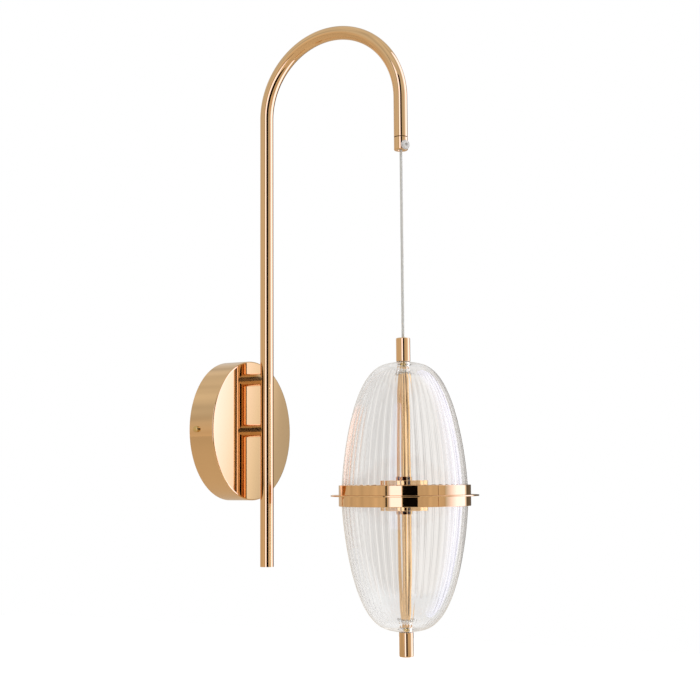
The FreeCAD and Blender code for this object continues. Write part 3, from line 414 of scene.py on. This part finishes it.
def make_arm_ends():
    """Cap under the outer leg, and plug in the rod's foot. The cap's spigot inside the tube is painted near
    black: painted shade in the seam.
    """
    cap = turned("arm_tip", [
        (CORD_HOLE + FLARE, 0, 0.2), (TUBE_RADIUS, 0, 0.8), (TUBE_RADIUS, CAP_HEIGHT, 0.12),
        (SPIGOT_RADIUS, CAP_HEIGHT, 0), (SPIGOT_RADIUS, SPIGOT_TOP, 0.3), (CAP_BORE, SPIGOT_TOP, 0),
        (CAP_BORE, CAP_FLOOR, 0), (CORD_HOLE, CAP_FLOOR, 0), (CORD_HOLE, CAP_FLOOR - FLARE, 0),
    ], gold, centre=(0, SHADE_Y, CAP_FOOT))
    # The spigot's faces above the seam line take the near-black brown, painted shade in the seam
    cap.data.materials.append(seam_shade_brass)
    seam_shade_start = (CAP_FOOT + CAP_HEIGHT - CLEAR / 2) * MM
    for face in cap.data.polygons:
        face.material_index = int(face.center.z > seam_shade_start)
    dress(cap, "lamp", "arm_end_cap")
    plug = turned("rod_foot", section(0, SPIGOT_RADIUS, 0, PLUG_HEIGHT, (0, 0.2, 0, 0)), gold,
                  centre=(0, ROD_Y, ROD_FOOT))
    dress(plug, "lamp", "rod_end_plug")


# Glass, with heights from the plate's middle

GLASS_RADIUS, GLASS_HEIGHT, GLASS_WALL, GLASS_POLE = 53.2, 112.5, 3.6, 8.0
GLASS_FOOT, POLE_FLAT, POLE_HOLE = 1.6, 6.0, 4.3
CEILING = GLASS_HEIGHT - GLASS_POLE
CEILING_RADIUS, CEILING_RING = 17.0, 10.0
SIDE_POWER, RISE_POWER = 3.12, 1.566
FLUTES, FLUTE_COLUMNS, FLUTE_DEPTH = 48, 14, 0.26
POLE_SLOPE, POLE_POWER = 0.17, 4
OUTER_ROWS, INNER_ROWS = 46, 44


def oval(height, reach, length):
    """Radius = reach * (1 - (height / length) ^ rise) ^ (1 / side)."""
    share = np.clip(1 - (np.maximum(height, 0) / length) ** RISE_POWER, 0, None)
    return reach * share ** (1 / SIDE_POWER)


def oval_share(radius, reach):
    """The height, as a share of the oval's length, where it has the given radius."""
    return (1 - (radius / reach) ** SIDE_POWER) ** (1 / RISE_POWER)


def make_glass(name, flip, node):
    """Half egg with a hole at its pole. Outside: an oval turned round the axis, whose drop from the top
    becomes (drop ^ 4 + cone ^ 4) ^ (1 / 4), so that the pole ends as a slight cone. Inside: a smaller oval
    under a flat ceiling, less depth * (1 - |sin(24 a)|), which leaves 48 hollow flutes between ridges."""
    columns = FLUTES * FLUTE_COLUMNS
    angle = circle(columns)
    top = GLASS_HEIGHT * oval_share(POLE_FLAT, GLASS_RADIUS)
    rise = np.linspace(math.asin(GLASS_FOOT / GLASS_HEIGHT), math.asin(top / GLASS_HEIGHT), OUTER_ROWS)
    outer_height = GLASS_HEIGHT * np.sin(rise)
    outer_radius = oval(outer_height, GLASS_RADIUS, GLASS_HEIGHT)
    outer_radius[-1] = POLE_FLAT
    drop, cone = GLASS_HEIGHT - outer_height, POLE_SLOPE * (outer_radius - POLE_FLAT)
    outer_height = GLASS_HEIGHT - (drop ** POLE_POWER + cone ** POLE_POWER) ** (1 / POLE_POWER)
    rows = [(r, h, 0.0) for r, h in zip(outer_radius, outer_height)]
    rows += [(POLE_FLAT, GLASS_HEIGHT, 0.0), (POLE_HOLE, GLASS_HEIGHT, 0.0)]
    rows += [(POLE_HOLE, CEILING, 0.0), (CEILING_RING, CEILING, 0.1)]
    reach = GLASS_RADIUS - GLASS_WALL
    inner_height = CEILING * np.sin(np.linspace(math.pi / 2, math.asin(GLASS_FOOT / CEILING), INNER_ROWS))
    inner_radius = oval(inner_height, reach, CEILING / oval_share(CEILING_RADIUS, reach))
    rows += [(r, h, FLUTE_DEPTH * r / reach) for r, h in zip(inner_radius, inner_height)]
    radius, height, depth = (np.array(v)[:, None] for v in zip(*rows))
    ridge = 1 - np.abs(np.sin(FLUTES / 2 * angle))[None, :]
    r = radius - depth * ridge
    points = np.stack([r * np.cos(angle), r * np.sin(angle) + SHADE_Y,
                       np.repeat(PLATE_Z + flip * height, columns, 1)], -1)
    shell = add_mesh(name, points.reshape(-1, 3), grid_faces(len(rows), columns), glass)
    dress(finish_shell(shell), "shade", node)


# Shade hardware, with heights from the plate's middle

PLATE_RADIUS, PLATE_HALF, SHAFT_HOLE = 62.3, 0.6, 4.15
BAND_INNER, BAND_OUTER, BAND_HEIGHT = 53.5, 55.5, 8.75
BAND_SEAM, BAND_SEAM_ANGLE, BAND_RINGS = 0.4, math.radians(-124), 300
HUB_RADIUS, HUB_HEIGHT, HUB_CORE = 20.0, 12.5, 6.4
COVER_SEAT, COVER_THICK, COVER_PLAY, HUB_MOUTH = 10.0, 2.0, 0.15, 19.0
BOARD_RADIUS, BOARD_TOP, WELL_RADIUS, WELL_FLOOR = 18.4, 6.6, 16.0, 2.6
SLEEVE_RADIUS, SLEEVE_FOOT, INNER_RING_THICK, INNER_RING_RADIUS = 5.0, 15.5, 1.0, 8.0
FINIAL_RADIUS, FINIAL_BORE, FINIAL_FOOT, FINIAL_TOP = 6.0, 4.05, 113.0, 133.0
THREAD_TOP, ANCHOR_ROOM, ANCHOR_TOP, CORD_EXIT = 125.0, 3.5, 129.8, 1.5


def make_band(name, flip, node):
    """Rolled strip: a rectangle with rounded edges carried round the axis, all but a narrow seam."""
    corners = section(BAND_INNER, BAND_OUTER, PLATE_HALF, BAND_HEIGHT, (0.2, 0.15, 0.35, 0.2))
    profile = rounded_profile(corners, steps=4, hold=0.12)
    half, hold = BAND_SEAM / 2 / BAND_OUTER, 0.002
    sweep = [half, *np.linspace(half + hold, TURN - half - hold, BAND_RINGS), TURN - half]
    angle = BAND_SEAM_ANGLE + np.array(sweep)[:, None]
    r, h = profile[:, 0][None, :], profile[:, 1][None, :]
    points = np.stack([r * np.cos(angle), r * np.sin(angle) + SHADE_Y,
                       np.repeat(PLATE_Z + flip * h, len(angle), 0)], -1)
    faces = grid_faces(len(angle), len(profile), wrap_rows=False) + end_faces(len(angle), len(profile))
    band = finish_shell(add_mesh(name, points.reshape(-1, 3), faces, gold))
    dress(band, "shade", node)


def make_hardware():
    """Turned plate, and on both its sides hub, cover, sleeve, seals and finial about the shade's axis."""
    middle = (0, SHADE_Y, PLATE_Z)
    disc = section(SHAFT_HOLE, PLATE_RADIUS, -PLATE_HALF, PLATE_HALF, (0, 0.3, 0.3, 0))
    plate = turned("plate", disc, gold, middle, segments=2 * FINE)
    dress(plate, "shade", "mid_plate")
    hub = [(SHAFT_HOLE, PLATE_HALF, 0), (HUB_RADIUS, PLATE_HALF, 0.3), (HUB_RADIUS, HUB_HEIGHT, 0.35),
           (HUB_MOUTH, HUB_HEIGHT, 0.2), (HUB_MOUTH, COVER_SEAT, 0), (BOARD_RADIUS, COVER_SEAT, 0),
           (BOARD_RADIUS, BOARD_TOP, 0), (WELL_RADIUS, BOARD_TOP, 0), (WELL_RADIUS, WELL_FLOOR, 0),
           (HUB_CORE, WELL_FLOOR, 0), (HUB_CORE, HUB_HEIGHT, 0.3), (SHAFT_HOLE, HUB_HEIGHT, 0)]
    cover = section(HUB_CORE + COVER_PLAY, HUB_MOUTH - COVER_PLAY, COVER_SEAT, COVER_SEAT + COVER_THICK,
                    (0.2, 0.2, 0.3, 0.3))
    sleeve_top = CEILING - INNER_RING_THICK
    sleeve = section(SHAFT_HOLE, SLEEVE_RADIUS, SLEEVE_FOOT, sleeve_top, (0, 0.15, 0.1, 0))
    inner_ring = section(POLE_HOLE, INNER_RING_RADIUS, sleeve_top + CLEAR, CEILING - CLEAR,
                         (0, 0.25, 0.25, 0))
    finial_seal = section(POLE_HOLE, FINIAL_RADIUS, GLASS_HEIGHT + CLEAR, FINIAL_FOOT - CLEAR,
                          (0, 0.15, 0.15, 0))
    rim_seal = section(GLASS_RADIUS - GLASS_WALL, GLASS_RADIUS, PLATE_HALF + CLEAR, GLASS_FOOT - CLEAR,
                       (0.1, 0.1, 0.1, 0.1))
    tip = [(FINIAL_BORE, FINIAL_FOOT, 0.1), (FINIAL_RADIUS, FINIAL_FOOT, 0.25),
           (FINIAL_RADIUS, FINIAL_TOP, 0.8)]
    tip_ends = {
        "upper": [(CORD_EXIT, FINIAL_TOP, 0.3), (CORD_EXIT, ANCHOR_TOP, 0), (ANCHOR_ROOM, ANCHOR_TOP, 0),
                  (ANCHOR_ROOM, THREAD_TOP, 0), (FINIAL_BORE, THREAD_TOP, 0)],
        "lower": [(0, FINIAL_TOP, 0), (0, THREAD_TOP, 0), (FINIAL_BORE, THREAD_TOP, 0)],
    }
    for side, flip in (("upper", 1), ("lower", -1)):
        make_band(f"{side}_band", flip, f"band_{side}")
        for name, corners, material, node, slot, segments in (
                ("hub", hub, gold, f"hub_{side}", "polished_gold", FINE),
                ("diffuser", cover, opal, f"diffuser_{side}", "opal_plastic", FINE),
                ("stem", sleeve, gold, f"{side}_sleeve", "polished_gold", ROUND),
                ("inner_ring", inner_ring, silicone, f"{side}_inner_washer", "silicone", ROUND),
                ("finial_seal", finial_seal, silicone, f"{side}_finial_gasket", "silicone", ROUND),
                ("rim_seal", rim_seal, silicone, f"{side}_rim_gasket", "silicone", FINE),
                ("tip", tip + tip_ends[side], gold, f"{side}_finial", "polished_gold", ROUND)):
            part = turned(f"{side}_{name}", corners, material, middle, flip=flip, segments=segments)
            dress(part, "shade", node)
        make_glass(f"{side}_half_egg", flip, f"{side}_glass")


# Cord

CORD_POINTS = [(0, SHADE_Y, z) for z in (238.1, 233, 195, 152.7, 110, 76, 67.3)]
CORD_RADIUS = 1.2
CORE_RADIUS, CORE_REACH, CORE_PITCH = 0.42, 0.5, 24
CORE_RINGS, CORE_SIDES, CORE_INSET = 260, 12, 0.1


def make_cord():
    """Straight clear cord: one smooth round curve, and two cores wound round its middle line."""
    curve = bpy.data.curves.new("cord_line", "CURVE")
    curve.dimensions = "3D"
    curve.bevel_depth = CORD_RADIUS * MM
    curve.bevel_resolution = 6
    curve.use_fill_caps = True
    curve.resolution_u = 6
    spline = curve.splines.new("NURBS")
    spline.points.add(len(CORD_POINTS) - 1)
    for point, place in zip(spline.points, CORD_POINTS):
        point.co = (*(v * MM for v in place), 1)
    spline.order_u = 3
    spline.use_endpoint_u = True
    curve.materials.append(sheath)
    line = bpy.data.objects.new("clear_cord_sheath", curve)
    bpy.context.scene.collection.objects.link(line)
    middle = middle_line(curve)
    cores = [make_core("tinned_strand", middle, tinned, 0.0),
             make_core("copper_strand", middle, copper, math.pi)]
    for core in cores:
        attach(core, "hanging_cord")
    dress(line, "hanging_cord", "cord")


def middle_line(curve):
    """The points of the cord's own smooth line, in millimetres, from the lowest to the highest."""
    bare = curve.copy()
    bare.bevel_depth = 0
    bare.resolution_u = 40
    carrier = bpy.data.objects.new("bare_line", bare)
    mesh = bpy.data.meshes.new_from_object(carrier)
    points = np.array([v.co for v in mesh.vertices]) / MM
    bpy.data.objects.remove(carrier)
    bpy.data.curves.remove(bare)
    bpy.data.meshes.remove(mesh)
    return points[np.argsort(points[:, 2])]


def make_core(name, middle, material, phase):
    """A round core on a helix about the middle line.
    Centre = middle + reach * (cos t, sin t), where t grows by one turn in each pitch of height."""
    height = np.linspace(middle[0, 2] + CORE_INSET, middle[-1, 2] - CORE_INSET, CORE_RINGS)
    turn = TURN * height / CORE_PITCH + phase
    angle = circle(CORE_SIDES)
    x, y = (np.interp(height, middle[:, 2], middle[:, i])[:, None] for i in (0, 1))
    across = x + CORE_REACH * np.cos(turn)[:, None] + CORE_RADIUS * np.cos(angle)
    along = y + CORE_REACH * np.sin(turn)[:, None] + CORE_RADIUS * np.sin(angle)
    points = np.stack([across, along, np.repeat(height[:, None], CORE_SIDES, 1)], -1)
    faces = grid_faces(CORE_RINGS, CORE_SIDES, wrap_rows=False) + end_faces(CORE_RINGS, CORE_SIDES)
    return finish_shell(add_mesh(name, points.reshape(-1, 3), faces, material))


# Nodes kept from the frame

KEPT = {
    gold: ["upper_locknut", "lower_locknut"],
    brass: ["canopy_side_screws", "earth_screw", "centre_rod"],
    steel: ["wall_bracket", "stud_washers", "stud_nuts", "hub_screws"],
    nylon: ["grip_screw"],
    sheath: ["lead_in_arm", "inner_lead", "cord_bead"],
    white_plastic: ["terminal_block", "led_driver"],
    foam: ["driver_pad"],
    red_wire: ["driver_input_leads", "board_jumpers"],
    board_white: ["led_board_upper", "led_board_lower"],
    crimp: ["cord_anchor"],
}


def dress_nodes():
    """Gives each node that still shows its material."""
    for material, names in KEPT.items():
        for name in names:
            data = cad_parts[name].data
            data.materials.clear()
            data.materials.append(material)


# Studio, in metres: plan points are (towards the camera, to the picture's right) of the studio's centre

STUDIO_CENTRE = Vector((0, -0.11, 0.1))
FACING = math.radians(-150.6)           # from the lamp towards the camera
FLOOR_Z, FLOOR_REACH = -1.0, 6.0
LEFT_LIGHT, LEFT_FLAG = ((2.612, -1.475), (2.981, -0.340)), ((2.487, -1.678), (2.563, -1.5585))
LEFT_HEIGHTS, RIGHT_HEIGHTS = (-0.95, 2.2), (-0.95, 1.2)
RIGHT_NEAR, RIGHT_JOINT, RIGHT_FAR = (0.25, 0.60), (0.0, 0.583), (-0.60, 0.8205)
CAMERA_CARD, CAMERA_CARD_HEIGHTS = ((2.9, -0.25), (0.468, 0.2035)), ((-0.85, 2.0), (-0.38, 0.52))
BRIGHTEST = 2.6                         # the sheets' emission strength, which their colours are shares of
SHEET_PEAK, SEEN_THROUGH_GLASS = 1.85, 0.9
TILT_HEIGHT, RIGHT_TILT = 0.03, 0.3     # a tilted sheet has its levels' own places at this height
DARK_SIDE = math.radians(27)            # from straight behind the lamp to the right
DARK_LEVEL, DARK_EDGE = 0.2, (0.89, 0.94)       # cosines of the angle from the dark side's middle
MIRRORED_LOW, MIRRORED_HIGH = (0.68, 0.57, 0.45), (0.68, 0.67, 0.64)
GLASS_LEVELS, GLASS_SIDES, GLASS_TINT = (0.735, 0.83), (0.02, 0.09), (1, 0.97, 0.94)
WARM_HEIGHTS, CLOUDS, FALLING_LIGHT = (-0.05, 0.4), (0.8, 1.2), 0.7
STREAKS, STREAK_EDGES = (-0.12, 0.13), (0.35, 0.65)
FLOOR_GREY, FLOOR_WARM = 0.8, (0.86, 0.735, 0.58)
FLOOR_GLOW = {"Transmission": 0.25, "Camera": 0.7}
CARD_TINT = (1, 0.85, 0.7)
GREEN_GAIN, COOLING = 1.01, 0.62
BOUNCES = 32                            # light crosses many glass faces


def plan_direction(ahead, right):
    """So far towards the camera and so far to the picture's right, level."""
    a = FACING
    return Vector((math.cos(a) * ahead - math.sin(a) * right, math.sin(a) * ahead + math.cos(a) * right, 0))


def upright(start, stop, heights, stop_heights=None):
    """Corners of an upright card between two plan points. Its (low, high) edges may differ at the stop."""
    (low, high), (stop_low, stop_high) = heights, stop_heights or heights
    ends = ((start, low), (stop, stop_low), (stop, stop_high), (start, high))
    return [STUDIO_CENTRE + plan_direction(*place) + Vector((0, 0, z)) for place, z in ends]


def add_stage(name, corners, material, hidden_from=()):
    """A flat piece of the studio from its four corners, hidden from the named kinds of ray."""
    mesh = bpy.data.meshes.new(name)
    mesh.from_pydata([tuple(c) for c in corners], [], [(0, 1, 2, 3)])
    mesh.materials.append(material)
    piece = bpy.data.objects.new(name, mesh)
    bpy.context.scene.collection.objects.link(piece)
    for ray in hidden_from:
        setattr(piece, f"visible_{ray}", False)


def make_card(name, corners, level):
    """A plain dark card. Only reflections and refractions meet it."""
    material, tree, shader, _ = new_material(name)
    set_sockets(tree, shader, Base_Color=(*(level * tint for tint in CARD_TINT), 1), Roughness=1.0,
                Specular_IOR_Level=0.0)
    add_stage(name, corners, material, ("camera", "shadow", "diffuse"))


def light_colour(level):
    """A light's colour at a level: above 1 it turns cool, as a camera pales the brightest gold."""
    return level, level * GREEN_GAIN, level * (1 + COOLING * max(0, level - 1))


def make_sheet(name, corners, levels, tilt=0.0, through=None):
    """A glowing sheet. Its levels follow (share of the width, level) stops; with a tilt they move along by
    that share for each metre of height. A through level is what is seen of it straight through glass, with
    no mirror on the way."""
    material, tree, shader, coords = new_material(name)
    across = corners[1] - corners[0]
    slope = across / across.length_squared - Vector((0, 0, tilt))
    offset = slope.dot(Vector((corners[0].x, corners[0].y, TILT_HEIGHT)))
    share = spread(tree, combine(tree, "DOT_PRODUCT", coords, slope), 0, 1, offset, offset + 1)
    mirrored = ramp(tree, share, [(place, [v / BRIGHTEST for v in light_colour(level)])
                                  for place, level in levels])
    plain = ramp(tree, share, [(place, [level / BRIGHTEST] * 3) for place, level in levels])
    crossed = plain
    if through:
        mirrors_met = tree.nodes.new("ShaderNodeLightPath").outputs["Glossy Depth"]
        crossed = mixed(tree, mirrors_met, through / BRIGHTEST, plain)
    set_sockets(tree, shader, Base_Color=(0, 0, 0, 1), Roughness=1.0, Specular_IOR_Level=0.0,
                Emission_Strength=BRIGHTEST,
                Emission_Color=by_ray(tree, plain, Glossy=mirrored, Transmission=crossed))
    add_stage(name, corners, material, ("camera", "shadow"))


def make_world():
    """Surroundings: white to the camera, plain light on things, in the metal a cloudy shade that is warmer
    near the floor and dark on one side, and in the glass a level that grows to the right, with streaks."""
    world = bpy.data.worlds.new("studio")
    bpy.context.scene.world = world
    world.use_nodes = True
    tree = world.node_tree
    background = next(n for n in tree.nodes if n.type == "BACKGROUND")
    place = tree.nodes.new("ShaderNodeTexCoord").outputs["Generated"]
    height = combine(tree, "DOT_PRODUCT", place, (0, 0, 1))
    shade = ramp(tree, spread(tree, height, 0, 1, *WARM_HEIGHTS), [(0, MIRRORED_LOW), (1, MIRRORED_HIGH)])
    cloud = spread(tree, noise(tree, place, scale=3.5, detail=1), *CLOUDS)
    beyond = combine(tree, "DOT_PRODUCT", place, plan_direction(-math.cos(DARK_SIDE), math.sin(DARK_SIDE)))
    dark = spread(tree, beyond, 1, DARK_LEVEL, *DARK_EDGE)
    metal = combine(tree, "MULTIPLY", shade, combine(tree, "MULTIPLY", cloud, dark))
    across = combine(tree, "DOT_PRODUCT", place, plan_direction(0, 1))
    level = spread(tree, across, *GLASS_LEVELS, *GLASS_SIDES)
    streaks = spread(tree, noise(tree, place, scale=9, stretch=(1, 1, 0.15)), *STREAKS, *STREAK_EDGES)
    clear = combine(tree, "MULTIPLY", combine(tree, "ADD", level, streaks), GLASS_TINT)
    set_sockets(tree, background,
                Color=by_ray(tree, FALLING_LIGHT, Glossy=metal, Transmission=clear, Camera=1))


def make_floor():
    """Pale floor, warmer in the metal, and lit from itself where the camera or the glass looks at it."""
    material, tree, shader, _ = new_material("pale_floor")
    set_sockets(tree, shader, Roughness=0.9, Specular_IOR_Level=0.1, Emission_Strength=1.0,
                Base_Color=by_ray(tree, FLOOR_GREY, Glossy=FLOOR_WARM, Transmission=FLOOR_GREY),
                Emission_Color=by_ray(tree, 0, **FLOOR_GLOW))
    corners = [(x * FLOOR_REACH, y * FLOOR_REACH, FLOOR_Z) for x, y in ((-1, -1), (1, -1), (1, 1), (-1, 1))]
    add_stage("floor", corners, material)


def make_studio():
    """Surroundings, floor, soft lights left and right, a dark card by the camera and a flag at the left."""
    make_world()
    make_floor()
    make_sheet("left_light", upright(*LEFT_LIGHT, LEFT_HEIGHTS), [(0, 0.45), (0.2, 1.72), (1, 1.72)])
    make_sheet("right_light_edge", upright(RIGHT_NEAR, RIGHT_JOINT, RIGHT_HEIGHTS),
               [(0, 0.62), (1, SHEET_PEAK)], through=SEEN_THROUGH_GLASS)
    make_sheet("right_light", upright(RIGHT_JOINT, RIGHT_FAR, RIGHT_HEIGHTS),
               [(0, SHEET_PEAK), (0.60, SHEET_PEAK), (0.68, 1.5), (0.71, 1.35), (0.79, 1.03), (0.874, 0.62),
                (1, 0.5)], RIGHT_TILT, SEEN_THROUGH_GLASS)
    make_card("camera_card", upright(*CAMERA_CARD, *CAMERA_CARD_HEIGHTS), level=0.005)
    make_card("left_flag", upright(*LEFT_FLAG, LEFT_HEIGHTS), level=0.03)


make_camera()
make_cord()
make_cup()
make_posts()
make_arm()
make_arm_ends()
make_hardware()
dress_nodes()
make_studio()

bpy.context.scene.view_settings.view_transform = "Standard"
limits = bpy.context.scene.cycles
limits.max_bounces = limits.transmission_bounces = limits.glossy_bounces = BOUNCES
